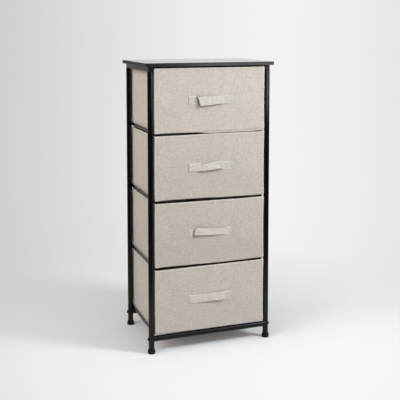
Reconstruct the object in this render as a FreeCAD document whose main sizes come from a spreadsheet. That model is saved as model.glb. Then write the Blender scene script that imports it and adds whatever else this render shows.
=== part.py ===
"""Fabric drawer dresser: a black steel tube frame, a laminated top board and four fabric drawers.

All lengths are in millimetres. +X is the dresser's right, +Y its back and +Z is up. The origin
lies on the floor, midway between the four feet. Drawer 1 is the top drawer.
"""
import FreeCAD, Part
import math
import os
import Sketcher

DRAWERS = 4
QUARTER_TURN = math.pi / 2
CUT_MARGIN = "1"    # how far a cutting sketch reaches past the solid
LEAST_CUT = 1e-3    # the smallest volume that counts as a cut
SAME_PLACE = 1e-4   # coordinates this close are the same

doc = FreeCAD.newDocument("fabric_drawer_dresser")

# ---------------------------------------------------------------- driving dimensions
SIZES = {
    "overall_height": 960,
    # top board
    "board_width": 450,
    "board_depth": 300,
    "board_thickness": 12,
    "board_edge_round": 0.8,
    "board_side_overhang": 9.5,
    "board_front_overhang": 6,
    # posts and feet
    "post_diameter": 19,
    "post_wall": 1.2,
    "foot_diameter": 25,
    "foot_base_height": 9,
    "foot_lower_chamfer": 2,
    "foot_collar_diameter": 22,
    "foot_total_height": 17,
    "foot_floor": 4,
    "foot_socket_clearance": 0.1,
    # square rails that carry the top board
    "top_rail_size": 16,
    "top_rail_wall": 1.2,
    "top_rail_corner": 1.8,
    "top_rail_setback": 4,
    "plug_head": 1.2,
    "plug_stem": 12,
    "plug_wall": 1.4,
    "plug_clearance": 0.15,
    "board_screw_diameter": 4,
    "board_screw_head_diameter": 10,
    "board_screw_head_height": 2.6,
    "board_screw_head_chamfer": 1.6,
    "board_screw_bite": 8,
    "board_screw_from_post": 20,
    "screw_hole_clearance": 0.5,
    # round cross rails, bolted between the posts
    "cross_rail_diameter": 18.6,
    "cross_rail_wall": 1.2,
    "cross_rail_below_runner": 5.5,
    "cope_clearance": 0.2,
    "bolt_diameter": 6,
    "bolt_head_diameter": 11,
    "bolt_head_height": 3.4,
    "bolt_head_chamfer": 2.4,
    "bolt_socket_width": 4,
    "bolt_socket_depth": 1.8,
    "bolt_grip": 16,
    "bolt_hole_clearance": 0.4,
    "insert_length": 24,
    "insert_clearance": 0.1,
    # angle runners
    "runner_height": 62.5,
    "runner_leg": 12,
    "runner_flange": 14,
    "runner_thickness": 1.2,
    "runner_bend": 1.2,
    "runner_inboard": 5.5,
    "runner_post_gap": 0.5,
    "runner_stop_height": 10,
    "runner_stop_corner": 2,
    # drawers
    "drawer_seat_gap": 0.3,
    "drawer_stop_gap": 0.5,
    "drawer_side_gap": 2.5,
    "drawer_board_gap": 4,
    "drawer_tier_gap": 8,
    "drawer_front_corner": 3,
    "drawer_rear_corner": 5,
    "cover_thickness": 1.5,
    "cover_rim": 1.5,
    "lining_thickness": 1,
    "front_board_thickness": 2.5,
    "base_board_thickness": 3,
    "base_board_gap": 1,
    # strap handles
    "strap_length": 150,
    "strap_width": 26,
    "strap_thickness": 1.6,
    "strap_tab": 15,
    "strap_rise": 10,
    "strap_bend": 14,
    "strap_below_rim": 108,
}

sheet = doc.addObject("Spreadsheet::Sheet", "Sizes")
for row, (alias, number) in enumerate(SIZES.items(), start=1):
    sheet.set(f"A{row}", alias)
    sheet.set(f"B{row}", str(number))
    sheet.setAlias(f"B{row}", alias)
doc.recompute()


# ---------------------------------------------------------------- places worked out from the sizes
def size(alias):
    """The expression that reads one cell of the sheet."""
    return f"Sizes.{alias}"


def half(expression):
    return f"({expression}) / 2"


def minus(expression):
    return f"-({expression})"


POST_RADIUS = half(size("post_diameter"))
POST_X = f"({half(size('board_width'))} - {size('board_side_overhang')} - {POST_RADIUS})"
POST_Y = f"({half(size('board_depth'))} - {size('board_front_overhang')} - {POST_RADIUS})"
FRAME_FRONT = f"({POST_Y} + {POST_RADIUS})"
FRAME_SIDE = f"({POST_X} + {POST_RADIUS})"
BOARD_UNDERSIDE = f"({size('overall_height')} - {size('board_thickness')})"
RAIL_UNDERSIDE = f"({BOARD_UNDERSIDE} - {size('top_rail_size')})"
RAIL_END = f"({FRAME_FRONT} - {size('top_rail_setback')})"
RAIL_BORE = f"({half(size('top_rail_size'))} - {size('top_rail_wall')})"
BOARD_SCREW_Y = f"({POST_Y} - {size('board_screw_from_post')})"
CROSS_RAIL_RADIUS = half(size("cross_rail_diameter"))
CROSS_RAIL_Z = f"({size('runner_height')} - {size('cross_rail_below_runner')} - {CROSS_RAIL_RADIUS})"
RUNNER_X = f"({POST_X} - {size('runner_inboard')})"
STOP_Y = f"({FRAME_FRONT} - {size('runner_thickness')})"
DRAWER_HALF_WIDTH = f"({POST_X} - {POST_RADIUS} - {size('drawer_side_gap')})"
DRAWER_DEPTH = f"({FRAME_FRONT} + {STOP_Y} - {size('drawer_stop_gap')})"
DRAWER_LIFT = f"({size('runner_thickness')} + {size('drawer_seat_gap')})"
DRAWERS_FLOOR = f"({size('runner_height')} + {DRAWER_LIFT})"
DRAWERS_CEILING = f"({BOARD_UNDERSIDE} - {size('drawer_board_gap')})"
# The four drawers and the gaps between them fill the space from the floor to the ceiling.
TIER_PITCH = f"(({DRAWERS_CEILING} + {size('drawer_tier_gap')} - {DRAWERS_FLOOR}) / {DRAWERS})"
DRAWER_HEIGHT = f"({TIER_PITCH} - {size('drawer_tier_gap')})"
RIM_UNDERSIDE = f"({DRAWER_HEIGHT} - {size('cover_rim')})"
LINING_FRONT = f"({size('cover_thickness')} + {size('front_board_thickness')})"
LINING_FLOOR = f"({size('cover_thickness')} + {size('lining_thickness')})"


def value(expression):
    """The number, in millimetres, that an expression gives now."""
    return float(sheet.evalExpression(expression))


def runner_z(tier):
    """Height of the underside of a tier's runners, tier 0 being the lowest."""
    return f"({size('runner_height')} + {tier} * {TIER_PITCH})"


# ---------------------------------------------------------------- modelling helpers
def new_body(label, at_x="0", at_y="0", at_z="0"):
    """A body whose own origin lies at the given place of the dresser."""
    body = doc.addObject("PartDesign::Body", label)
    body.Label = label
    for axis, expression in zip("xyz", (at_x, at_y, at_z)):
        body.setExpression(f"Placement.Base.{axis}", expression)
    return body


def origin_feature(body, role):
    return next(item for item in body.Origin.OriginFeatures if item.Role == role)


def new_sketch(body, plane, shift=None):
    """A sketch on one of the body's planes, or the expression `shift` along its normal."""
    sketch = body.newObject("Sketcher::SketchObject", f"{body.Label}_sketch")
    sketch.AttachmentSupport = [(origin_feature(body, plane), "")]
    sketch.MapMode = "FlatFace"
    if shift:
        sketch.setExpression("AttachmentOffset.Base.z", shift)
    return sketch


def bind(sketch, kind, *places, to):
    """Add a dimension to a sketch and tie it to an expression."""
    number = sketch.addConstraint(Sketcher.Constraint(kind, *places, value(to)))
    sketch.setExpression(f"Constraints[{number}]", to)


def hold(sketch, geometry, end, x, y):
    """Hold one end of a line or arc, or a circle's centre, at a place of the sketch."""
    bind(sketch, "DistanceX", -1, 1, geometry, end, to=x)
    bind(sketch, "DistanceY", -1, 1, geometry, end, to=y)


def add_circle(sketch, x, y, radius):
    centre = FreeCAD.Vector(value(x), value(y), 0)
    circle = sketch.addGeometry(Part.Circle(centre, FreeCAD.Vector(0, 0, 1), value(radius)))
    hold(sketch, circle, 3, x, y)
    bind(sketch, "Radius", circle, to=radius)
    return circle


def add_polygon(sketch, corners):
    """A closed outline of straight lines, each corner held by its own two expressions."""
    points = [FreeCAD.Vector(value(x), value(y), 0) for x, y in corners]
    lines = []
    for start, end in zip(points, points[1:] + points[:1]):
        lines.append(sketch.addGeometry(Part.LineSegment(start, end)))
    for line, following in zip(lines, lines[1:] + lines[:1]):
        sketch.addConstraint(Sketcher.Constraint("Coincident", line, 2, following, 1))
    for line, (x, y) in zip(lines, corners):
        hold(sketch, line, 1, x, y)
    return lines


def add_rectangle(sketch, left, right, low, high):
    return add_polygon(sketch, [(left, low), (right, low), (right, high), (left, high)])


def add_rounded_rectangle(sketch, left, right, low, high, low_radius, high_radius):
    """A rectangle with one radius at its two low corners and another at its two high ones."""
    x_low, x_high, y_low, y_high = (value(side) for side in (left, right, low, high))
    small, large = value(low_radius), value(high_radius)
    corners = [
        (x_high - large, y_high - large, large),
        (x_low + large, y_high - large, large),
        (x_low + small, y_low + small, small),
        (x_high - small, y_low + small, small),
    ]
    arcs = []
    for turn, (centre_x, centre_y, radius) in enumerate(corners):
        centre = FreeCAD.Vector(centre_x, centre_y, 0)
        circle = Part.Circle(centre, FreeCAD.Vector(0, 0, 1), radius)
        start = turn * QUARTER_TURN
        arcs.append(sketch.addGeometry(Part.ArcOfCircle(circle, start, start + QUARTER_TURN)))
    lines = []
    for arc, following in zip(arcs, arcs[1:] + arcs[:1]):
        begin = sketch.Geometry[arc].EndPoint
        finish = sketch.Geometry[following].StartPoint
        line = sketch.addGeometry(Part.LineSegment(begin, finish))
        sketch.addConstraint(Sketcher.Constraint("Tangent", arc, 2, line, 1))
        sketch.addConstraint(Sketcher.Constraint("Tangent", line, 2, following, 1))
        lines.append(line)
    high_line, left_line, low_line, right_line = lines
    sketch.addConstraint(Sketcher.Constraint("Horizontal", low_line))
    sketch.addConstraint(Sketcher.Constraint("Vertical", right_line))
    sketch.addConstraint(Sketcher.Constraint("Horizontal", high_line))
    sketch.addConstraint(Sketcher.Constraint("Vertical", left_line))
    bind(sketch, "DistanceY", -1, 1, low_line, 1, to=low)
    bind(sketch, "DistanceX", -1, 1, right_line, 1, to=right)
    bind(sketch, "DistanceY", -1, 1, high_line, 1, to=high)
    bind(sketch, "DistanceX", -1, 1, left_line, 1, to=left)
    high_right, high_left, low_left, low_right = arcs
    bind(sketch, "Radius", high_right, to=high_radius)
    bind(sketch, "Radius", low_left, to=low_radius)
    sketch.addConstraint(Sketcher.Constraint("Equal", high_right, high_left))
    sketch.addConstraint(Sketcher.Constraint("Equal", low_left, low_right))


def pad(body, sketch, length, both_ways=False):
    """Extrude a sketch along its normal, or half of the length to each side."""
    feature = body.newObject("PartDesign::Pad", f"{body.Label}_pad")
    feature.Profile = sketch
    feature.SideType = "Symmetric" if both_ways else "One side"
    feature.setExpression("Length", length)
    doc.recompute()
    return feature


def check_cut(feature, before):
    """Stop where a cut took nothing away."""
    if not feature.Shape.Volume < before - LEAST_CUT:
        raise RuntimeError(f"{feature.Name} cuts nothing")


def pocket(body, sketch, length=None, upwards=False):
    """Cut a sketch out: right through both ways, or by a length down or up its normal."""
    before = body.Shape.Volume
    feature = body.newObject("PartDesign::Pocket", f"{body.Label}_pocket")
    feature.Profile = sketch
    if length is None:
        feature.Type = "ThroughAll"
        feature.SideType = "Symmetric"
    else:
        feature.setExpression("Length", length)
        feature.Reversed = upwards
    doc.recompute()
    check_cut(feature, before)
    return feature


def revolve(body, sketch, axis):
    """Turn a sketch a full circle about the sketch's own H_Axis or V_Axis."""
    feature = body.newObject("PartDesign::Revolution", f"{body.Label}_turned")
    feature.Profile = sketch
    feature.ReferenceAxis = (sketch, [axis])
    feature.Angle = 360
    doc.recompute()
    return feature


def edge_names(shape, wanted):
    """Names of the edges whose two ends and middle all pass the test `wanted(point)`."""
    names = []
    for number, edge in enumerate(shape.Edges, start=1):
        middle = edge.valueAt((edge.FirstParameter + edge.LastParameter) / 2)
        points = [vertex.Point for vertex in edge.Vertexes] + [middle]
        if all(wanted(point) for point in points):
            names.append(f"Edge{number}")
    return names


def fillet(body, radius, wanted):
    """Round the edges of the body's last feature that pass the test."""
    last = body.Tip
    feature = body.newObject("PartDesign::Fillet", f"{body.Label}_round")
    feature.Base = (last, edge_names(last.Shape, wanted))
    feature.setExpression("Radius", radius)
    doc.recompute()
    return feature


def near(number, expression):
    """Whether a coordinate lies at an expression's value."""
    return abs(number - value(expression)) < SAME_PLACE


def mirror(source, label, normal):
    """The source's mirror image across the dresser's middle plane with that normal."""
    image = doc.addObject("Part::Mirroring", label)
    image.Label = label
    image.Source = source
    image.Normal = normal
    return image


ACROSS_X = (1, 0, 0)
ACROSS_Y = (0, 1, 0)


def four_of(source, label):
    """One group of four: the source at the front left and its images at the other corners."""
    right = mirror(source, f"{label}_right", ACROSS_X)
    rear = mirror(source, f"{label}_rear", ACROSS_Y)
    rear_right = mirror(rear, f"{label}_rear_right", ACROSS_X)
    group = doc.addObject("Part::Compound", label)
    group.Label = label
    group.Links = [source, right, rear, rear_right]
    return group


# ---------------------------------------------------------------- frame
def make_top_board():
    """Laminated board with eased edges and four blind pilot holes in its underside."""
    body = new_body("top_board", at_z=BOARD_UNDERSIDE)
    half_width, half_depth = half(size("board_width")), half(size("board_depth"))
    outline = new_sketch(body, "XY_Plane")
    add_rectangle(outline, minus(half_width), half_width, minus(half_depth), half_depth)
    pad(body, outline, size("board_thickness"))
    # The level edges are eased; the four upright ones are left crisp, as the edge banding is.
    for level in ("0", size("board_thickness")):
        fillet(body, size("board_edge_round"), lambda point, at=level: near(point.z, at))
    holes = new_sketch(body, "XY_Plane")
    for x in (POST_X, minus(POST_X)):
        for y in (BOARD_SCREW_Y, minus(BOARD_SCREW_Y)):
            add_circle(holes, x, y, half(size("board_screw_diameter")))
    pocket(body, holes, size("board_screw_bite"), upwards=True)
    return body


def make_post():
    """Front left post: a round tube, cross-drilled for the rail bolt."""
    body = new_body("post_front_left", minus(POST_X), minus(POST_Y), size("foot_floor"))
    ring = new_sketch(body, "XY_Plane")
    add_circle(ring, "0", "0", POST_RADIUS)
    add_circle(ring, "0", "0", f"{POST_RADIUS} - {size('post_wall')}")
    pad(body, ring, f"{RAIL_UNDERSIDE} - {size('foot_floor')}")
    drilling = new_sketch(body, "YZ_Plane")
    hole_radius = half(f"{size('bolt_diameter')} + {size('bolt_hole_clearance')}")
    add_circle(drilling, "0", f"{CROSS_RAIL_Z} - {size('foot_floor')}", hole_radius)
    pocket(body, drilling)
    return body


def make_foot():
    """Front left foot: a flared cap with a socket that the post is pushed into."""
    body = new_body("foot_front_left", minus(POST_X), minus(POST_Y), "0")
    base_radius, collar_radius = half(size("foot_diameter")), half(size("foot_collar_diameter"))
    socket_radius = f"{POST_RADIUS} + {size('foot_socket_clearance')}"
    profile = new_sketch(body, "XZ_Plane")
    chamfer_width = size("foot_lower_chamfer")
    corners = [
        ("0", "0"),
        (f"{base_radius} - {chamfer_width}", "0"),
        (base_radius, chamfer_width),
        (base_radius, size("foot_base_height")),
        (collar_radius, size("foot_total_height")),
        (socket_radius, size("foot_total_height")),
        (socket_radius, size("foot_floor")),
        ("0", size("foot_floor")),
    ]
    add_polygon(profile, corners)
    revolve(body, profile, "V_Axis")
    return body


def add_tube_outline(sketch, outer):
    """The square tube's outer outline, `outer` from its middle to each side."""
    corner = size("top_rail_corner")
    add_rounded_rectangle(sketch, minus(outer), outer, minus(outer), outer, corner, corner)


def add_square(sketch, reach):
    return add_rectangle(sketch, minus(reach), reach, minus(reach), reach)


def make_top_rail():
    """Left top rail: a square tube on the two left posts, drilled for the board's screws."""
    outer = half(size("top_rail_size"))
    body = new_body("top_rail_left", minus(POST_X), "0", f"{RAIL_UNDERSIDE} + {outer}")
    section = new_sketch(body, "XZ_Plane")
    add_tube_outline(section, outer)
    add_square(section, RAIL_BORE)
    pad(body, section, f"2 * ({RAIL_END} - {size('plug_head')})", both_ways=True)
    drilling = new_sketch(body, "XY_Plane")
    hole_radius = half(f"{size('board_screw_diameter')} + {size('screw_hole_clearance')}")
    for y in (BOARD_SCREW_Y, minus(BOARD_SCREW_Y)):
        add_circle(drilling, "0", y, hole_radius)
    pocket(body, drilling)
    return body


def make_rail_plug():
    """Moulded plug in the front end of the left top rail: a flat head on a hollow stem."""
    outer, head, stem = half(size("top_rail_size")), size("plug_head"), size("plug_stem")
    body = new_body("rail_plug", minus(POST_X), minus(RAIL_END), f"{RAIL_UNDERSIDE} + {outer}")
    cap = new_sketch(body, "XZ_Plane", minus(head))
    add_tube_outline(cap, outer)
    pad(body, cap, head)
    inner_end = minus(f"{head} + {stem}")
    reach = f"{RAIL_BORE} - {size('plug_clearance')}"
    block = new_sketch(body, "XZ_Plane", inner_end)
    add_square(block, reach)
    pad(body, block, stem)
    hollow = new_sketch(body, "XZ_Plane", inner_end)
    add_square(hollow, f"{reach} - {size('plug_wall')}")
    pocket(body, hollow, stem, upwards=True)
    return body


def make_board_screw():
    """Pan-head screw that goes up through the left top rail into the board."""
    body = new_body("board_screw", minus(POST_X), minus(BOARD_SCREW_Y), RAIL_UNDERSIDE)
    shank, head = half(size("board_screw_diameter")), half(size("board_screw_head_diameter"))
    drop = minus(size("board_screw_head_height"))
    ease = size("board_screw_head_chamfer")
    reach = f"{size('top_rail_size')} + {size('board_screw_bite')}"
    profile = new_sketch(body, "XZ_Plane")
    add_polygon(profile, [
        ("0", drop),
        (f"{head} - {ease}", drop),
        (head, f"{ease} + {drop}"),
        (head, "0"),
        (shank, "0"),
        (shank, reach),
        ("0", reach),
    ])
    revolve(body, profile, "V_Axis")
    return body


def make_cross_rail():
    """Front cross rail: a round tube whose two ends are coped to the posts."""
    body = new_body("cross_rail_front", "0", minus(POST_Y), CROSS_RAIL_Z)
    ring = new_sketch(body, "YZ_Plane")
    add_circle(ring, "0", "0", CROSS_RAIL_RADIUS)
    add_circle(ring, "0", "0", f"{CROSS_RAIL_RADIUS} - {size('cross_rail_wall')}")
    pad(body, ring, f"2 * {POST_X}", both_ways=True)
    cope = new_sketch(body, "XY_Plane")
    for x in (POST_X, minus(POST_X)):
        add_circle(cope, x, "0", f"{POST_RADIUS} + {size('cope_clearance')}")
    pocket(body, cope)
    return body


def make_rail_insert():
    """Threaded insert pressed into the left end of the front cross rail."""
    start = f"{POST_X} - {POST_RADIUS} - {size('cope_clearance')}"
    body = new_body("rail_insert", minus(start), minus(POST_Y), CROSS_RAIL_Z)
    ring = new_sketch(body, "YZ_Plane")
    inner_wall = f"{CROSS_RAIL_RADIUS} - {size('cross_rail_wall')}"
    add_circle(ring, "0", "0", f"{inner_wall} - {size('insert_clearance')}")
    add_circle(ring, "0", "0", half(f"{size('bolt_diameter')} + {size('insert_clearance')}"))
    pad(body, ring, size("insert_length"))
    return body


def make_rail_bolt():
    """Button-head bolt through the front left post into the rail's insert."""
    body = new_body("rail_bolt", minus(FRAME_SIDE), minus(POST_Y), CROSS_RAIL_Z)
    shank, head = half(size("bolt_diameter")), half(size("bolt_head_diameter"))
    top, ease = minus(size("bolt_head_height")), size("bolt_head_chamfer")
    reach = f"{size('post_diameter')} + {size('bolt_grip')}"
    profile = new_sketch(body, "XZ_Plane")
    add_polygon(profile, [
        (top, "0"),
        (top, f"{head} - {ease}"),
        (f"{ease} + {top}", head),
        ("0", head),
        ("0", shank),
        (reach, shank),
        (reach, "0"),
    ])
    revolve(body, profile, "H_Axis")
    socket = new_sketch(body, "YZ_Plane", top)
    corner_radius = f"{size('bolt_socket_width')} / sqrt(3)"
    corners = []
    for turn in range(6):
        across = f"{corner_radius} * cos({60 * turn}deg)"
        along = f"{corner_radius} * sin({60 * turn}deg)"
        corners.append((across, along))
    add_polygon(socket, corners)
    pocket(body, socket, size("bolt_socket_depth"), upwards=True)
    return body


def cope_to_posts(body, inboard):
    """Cut the two ends of a left-hand part, centred `inboard` of the posts, to the posts' round."""
    cope = new_sketch(body, "XY_Plane")
    for y in (POST_Y, minus(POST_Y)):
        add_circle(cope, minus(inboard), y, POST_RADIUS)
    pocket(body, cope)


def make_runner(tier, label):
    """Left runner: an angle welded to both posts; its flange goes on past the rear post to a stop."""
    body = new_body(label, minus(RUNNER_X), "0", runner_z(tier))
    thickness, bend = size("runner_thickness"), size("runner_bend")
    section = new_sketch(body, "XZ_Plane", minus(FRAME_FRONT))
    add_polygon(section, [
        ("0", "0"),
        (size("runner_flange"), "0"),
        (size("runner_flange"), thickness),
        (thickness, thickness),
        (thickness, size("runner_leg")),
        ("0", size("runner_leg")),
    ])
    pad(body, section, f"{FRAME_FRONT} + {POST_Y}")
    fillet(body, bend, lambda point: near(point.x, thickness) and near(point.z, thickness))
    fillet(body, f"{bend} + {thickness}", lambda point: near(point.x, "0") and near(point.z, "0"))
    # The leg ends on the rear post; only the flange goes on behind it.
    past_post = f"{POST_RADIUS} - {size('runner_inboard')} + {size('runner_post_gap')}"
    trim = new_sketch(body, "XY_Plane")
    add_rectangle(trim, minus(CUT_MARGIN), past_post, POST_Y, f"{FRAME_FRONT} + {CUT_MARGIN}")
    pocket(body, trim)
    cope_to_posts(body, size("runner_inboard"))
    stop = new_sketch(body, "XZ_Plane", minus(f"{STOP_Y} + {thickness}"))
    add_rectangle(stop, past_post, size("runner_flange"), half(thickness), size("runner_stop_height"))
    pad(body, stop, thickness)
    fillet(body, size("runner_stop_corner"),
           lambda point: near(point.x, size("runner_flange"))
           and near(point.z, size("runner_stop_height")))
    return body


# ---------------------------------------------------------------- drawers
def drawer_body(number, piece):
    """A body of one drawer; its origin is the middle of the front face's lower edge."""
    base = f"{runner_z(DRAWERS - number)} + {DRAWER_LIFT}"
    return new_body(f"drawer_{number}_{piece}", "0", minus(FRAME_FRONT), base)


def drawer_outline(sketch, side, front, back):
    """A drawer's plan, inset at the sides, front and back by the given expressions."""
    half_width = f"{DRAWER_HALF_WIDTH} - ({side})"
    rear = f"{DRAWER_DEPTH} - ({back})"
    add_rounded_rectangle(sketch, minus(half_width), half_width, front, rear,
                          size("drawer_front_corner"), size("drawer_rear_corner"))


def make_cover(number):
    """Sewn outer cover: a bin with a rim that is folded inwards over the lining."""
    body = drawer_body(number, "cover")
    thickness, lining = size("cover_thickness"), size("lining_thickness")
    plan = new_sketch(body, "XY_Plane")
    drawer_outline(plan, "0", "0", "0")
    pad(body, plan, DRAWER_HEIGHT)
    inside = new_sketch(body, "XY_Plane", thickness)
    drawer_outline(inside, thickness, thickness, thickness)
    pocket(body, inside, f"{RIM_UNDERSIDE} - {thickness}", upwards=True)
    mouth = new_sketch(body, "XY_Plane", RIM_UNDERSIDE)
    wall = f"{thickness} + {lining}"
    drawer_outline(mouth, wall, f"{LINING_FRONT} + {lining}", wall)
    pocket(body, mouth, size("cover_rim"), upwards=True)
    return body


def make_lining(number):
    """Thin inner bin, tucked under the cover's rim."""
    body = drawer_body(number, "lining")
    thickness, lining = size("cover_thickness"), size("lining_thickness")
    plan = new_sketch(body, "XY_Plane", thickness)
    drawer_outline(plan, thickness, LINING_FRONT, thickness)
    pad(body, plan, f"{RIM_UNDERSIDE} - {thickness}")
    inside = new_sketch(body, "XY_Plane", LINING_FLOOR)
    wall = f"{thickness} + {lining}"
    drawer_outline(inside, wall, f"{LINING_FRONT} + {lining}", wall)
    pocket(body, inside, f"{RIM_UNDERSIDE} - {LINING_FLOOR}", upwards=True)
    return body


def make_front_board(number):
    """Stiff panel that keeps the front flat, held between the cover and the lining."""
    body = drawer_body(number, "front_board")
    # The board ends where the cover's rounded corners begin.
    half_width = f"{DRAWER_HALF_WIDTH} - {size('cover_thickness')} - {size('drawer_front_corner')}"
    face = new_sketch(body, "XZ_Plane", minus(LINING_FRONT))
    add_rectangle(face, minus(half_width), half_width, size("cover_thickness"), RIM_UNDERSIDE)
    pad(body, face, size("front_board_thickness"))
    return body


def make_base_board(number):
    """Loose bottom panel that carries the load between the two runners."""
    body = drawer_body(number, "base_board")
    gap = size("base_board_gap")
    side = f"{LINING_FLOOR} + {gap}"
    plan = new_sketch(body, "XY_Plane", LINING_FLOOR)
    drawer_outline(plan, side, f"{LINING_FRONT} + {size('lining_thickness')} + {gap}", side)
    pad(body, plan, size("base_board_thickness"))
    return body


def add_strap_path(sketch):
    """Middle line of a strap seen from above: flat tab, bend, long crown, bend, flat tab."""
    half_length, tab = half(size("strap_length")), size("strap_tab")
    seat, rise, bend = half(size("strap_thickness")), value(size("strap_rise")), size("strap_bend")
    bend_radius = value(bend)
    inner = value(f"{half_length} - {tab}")
    # The crown's circle touches both bends: its radius follows from the rise and the span.
    crown_radius = (inner ** 2 + rise ** 2) / (2 * rise) - bend_radius
    lean = math.asin(inner / (crown_radius + bend_radius))
    seat_y = -value(seat)
    up = FreeCAD.Vector(0, 0, 1)
    left_bend = Part.Circle(FreeCAD.Vector(-inner, seat_y - bend_radius, 0), up, bend_radius)
    right_bend = Part.Circle(FreeCAD.Vector(inner, seat_y - bend_radius, 0), up, bend_radius)
    crown = Part.Circle(FreeCAD.Vector(0, seat_y - rise + crown_radius, 0), up, crown_radius)
    left_tab = Part.LineSegment(FreeCAD.Vector(-value(half_length), seat_y, 0),
                                FreeCAD.Vector(-inner, seat_y, 0))
    right_tab = Part.LineSegment(FreeCAD.Vector(inner, seat_y, 0),
                                 FreeCAD.Vector(value(half_length), seat_y, 0))
    first = sketch.addGeometry(left_tab)
    left = sketch.addGeometry(Part.ArcOfCircle(left_bend, QUARTER_TURN - lean, QUARTER_TURN))
    middle = sketch.addGeometry(Part.ArcOfCircle(crown, -QUARTER_TURN - lean, lean - QUARTER_TURN))
    right = sketch.addGeometry(Part.ArcOfCircle(right_bend, QUARTER_TURN, QUARTER_TURN + lean))
    last = sketch.addGeometry(right_tab)
    for pair in ((first, 2, left, 2), (left, 1, middle, 1), (middle, 2, right, 2), (right, 1, last, 1)):
        sketch.addConstraint(Sketcher.Constraint("Tangent", *pair))
    hold(sketch, first, 1, minus(half_length), minus(seat))
    hold(sketch, last, 2, half_length, minus(seat))
    bind(sketch, "DistanceX", first, 1, first, 2, to=tab)
    bind(sketch, "DistanceX", last, 1, last, 2, to=tab)
    sketch.addConstraint(Sketcher.Constraint("Horizontal", first))
    bind(sketch, "Radius", left, to=bend)
    sketch.addConstraint(Sketcher.Constraint("Equal", left, right))
    bind(sketch, "DistanceY", middle, 3, -1, 1, to=f"{seat} + {size('strap_rise')} - {crown_radius}")


def make_handle(number):
    """Strap handle sewn to the front by its two flat ends."""
    body = drawer_body(number, "handle")
    height = f"{DRAWER_HEIGHT} - {size('strap_below_rim')}"
    path = new_sketch(body, "XY_Plane", height)
    add_strap_path(path)
    section = new_sketch(body, "YZ_Plane", minus(half(size("strap_length"))))
    half_width = half(size("strap_width"))
    add_rectangle(section, minus(size("strap_thickness")), "0",
                  f"{height} - {half_width}", f"{height} + {half_width}")
    sweep = body.newObject("PartDesign::AdditivePipe", f"{body.Label}_sweep")
    sweep.Profile = section
    sweep.Spine = (path, [])
    doc.recompute()
    return body


# ---------------------------------------------------------------- assembly
def make_frame():
    """Every sub-part of the frame, as (label, object) pairs in their building order."""
    parts = [make_top_board()]
    for source, name in ((make_post(), "post"), (make_foot(), "foot")):
        parts.append(source)
        parts.append(mirror(source, f"{name}_front_right", ACROSS_X))
        rear = mirror(source, f"{name}_rear_left", ACROSS_Y)
        parts.append(rear)
        parts.append(mirror(rear, f"{name}_rear_right", ACROSS_X))
    top_rail = make_top_rail()
    cross_rail = make_cross_rail()
    parts += [top_rail, mirror(top_rail, "top_rail_right", ACROSS_X)]
    parts += [cross_rail, mirror(cross_rail, "cross_rail_rear", ACROSS_Y)]
    for tier in range(DRAWERS):
        number = DRAWERS - tier
        runner = make_runner(tier, f"runner_left_{number}")
        parts += [runner, mirror(runner, f"runner_right_{number}", ACROSS_X)]
    parts.append(four_of(make_rail_plug(), "rail_plugs"))
    parts.append(four_of(make_board_screw(), "board_screws"))
    parts.append(four_of(make_rail_insert(), "rail_inserts"))
    parts.append(four_of(make_rail_bolt(), "rail_bolts"))
    return parts


def make_drawers():
    parts = []
    for number in range(1, DRAWERS + 1):
        for make in (make_cover, make_lining, make_front_board, make_base_board, make_handle):
            parts.append(make(number))
    return parts


def check_document():
    """Stop where any object of the document failed to build."""
    for item in doc.Objects:
        if "Invalid" in item.State or "Error" in item.State:
            raise RuntimeError(f"{item.Label} is in state {item.State}")


def check_part(part, solids):
    shape = part.Shape
    if shape.isNull() or not shape.isValid() or len(shape.Solids) != solids:
        raise RuntimeError(f"{part.Label} isn't {solids} valid solid(s)")


GROUPS = {"rail_plugs": 4, "board_screws": 4, "rail_inserts": 4, "rail_bolts": 4}

sub_parts = make_frame() + make_drawers()
doc.recompute()
check_document()
for sub_part in sub_parts:
    check_part(sub_part, GROUPS.get(sub_part.Label, 1))

os.makedirs("parts", exist_ok=True)
for sub_part in sub_parts:
    sub_part.Shape.exportStep(f"parts/{sub_part.Label}.step")
print(f"{len(sub_parts)} sub-parts written")
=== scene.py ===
"""Looks of a fabric drawer dresser: a black steel frame, a laminated top and four linen drawers.

Pieces are shaped in millimetres and handed over in metres. +X is the dresser's right, +Y its back
and +Z is up. The origin lies on the floor, midway between the feet. Drawer 1 is the top drawer.
"""

import logging
import math
from collections.abc import Iterable, Iterator, Sequence
from dataclasses import dataclass, field
from enum import Enum

import bmesh
import bpy
from mathutils import Matrix, Vector, noise


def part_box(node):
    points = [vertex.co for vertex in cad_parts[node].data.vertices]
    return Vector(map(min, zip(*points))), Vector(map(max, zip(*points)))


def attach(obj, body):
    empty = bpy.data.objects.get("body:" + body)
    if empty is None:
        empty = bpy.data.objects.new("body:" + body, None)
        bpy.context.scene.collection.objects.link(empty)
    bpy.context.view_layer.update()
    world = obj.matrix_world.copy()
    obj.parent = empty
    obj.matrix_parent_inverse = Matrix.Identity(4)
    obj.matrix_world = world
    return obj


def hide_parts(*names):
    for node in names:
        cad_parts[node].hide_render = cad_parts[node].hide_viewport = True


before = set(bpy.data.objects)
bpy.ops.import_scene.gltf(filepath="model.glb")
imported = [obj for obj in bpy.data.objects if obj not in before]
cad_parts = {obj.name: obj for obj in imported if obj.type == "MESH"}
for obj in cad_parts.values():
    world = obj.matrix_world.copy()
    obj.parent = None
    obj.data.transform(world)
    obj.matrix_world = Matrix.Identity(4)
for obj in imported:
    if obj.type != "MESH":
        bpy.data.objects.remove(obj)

Shape = bmesh.types.BMesh
Edge = bmesh.types.BMEdge
Point = bmesh.types.BMVert

LOG = logging.getLogger("dresser")
MM = 0.001
CLOTH_MAP = "cloth"
# Vertex attribute: above 0 a share of painted highlight with wear, below 0 a share of painted shade.
FOLD_WEAR_AND_PAINTED_LIGHT = "fold"


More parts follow.
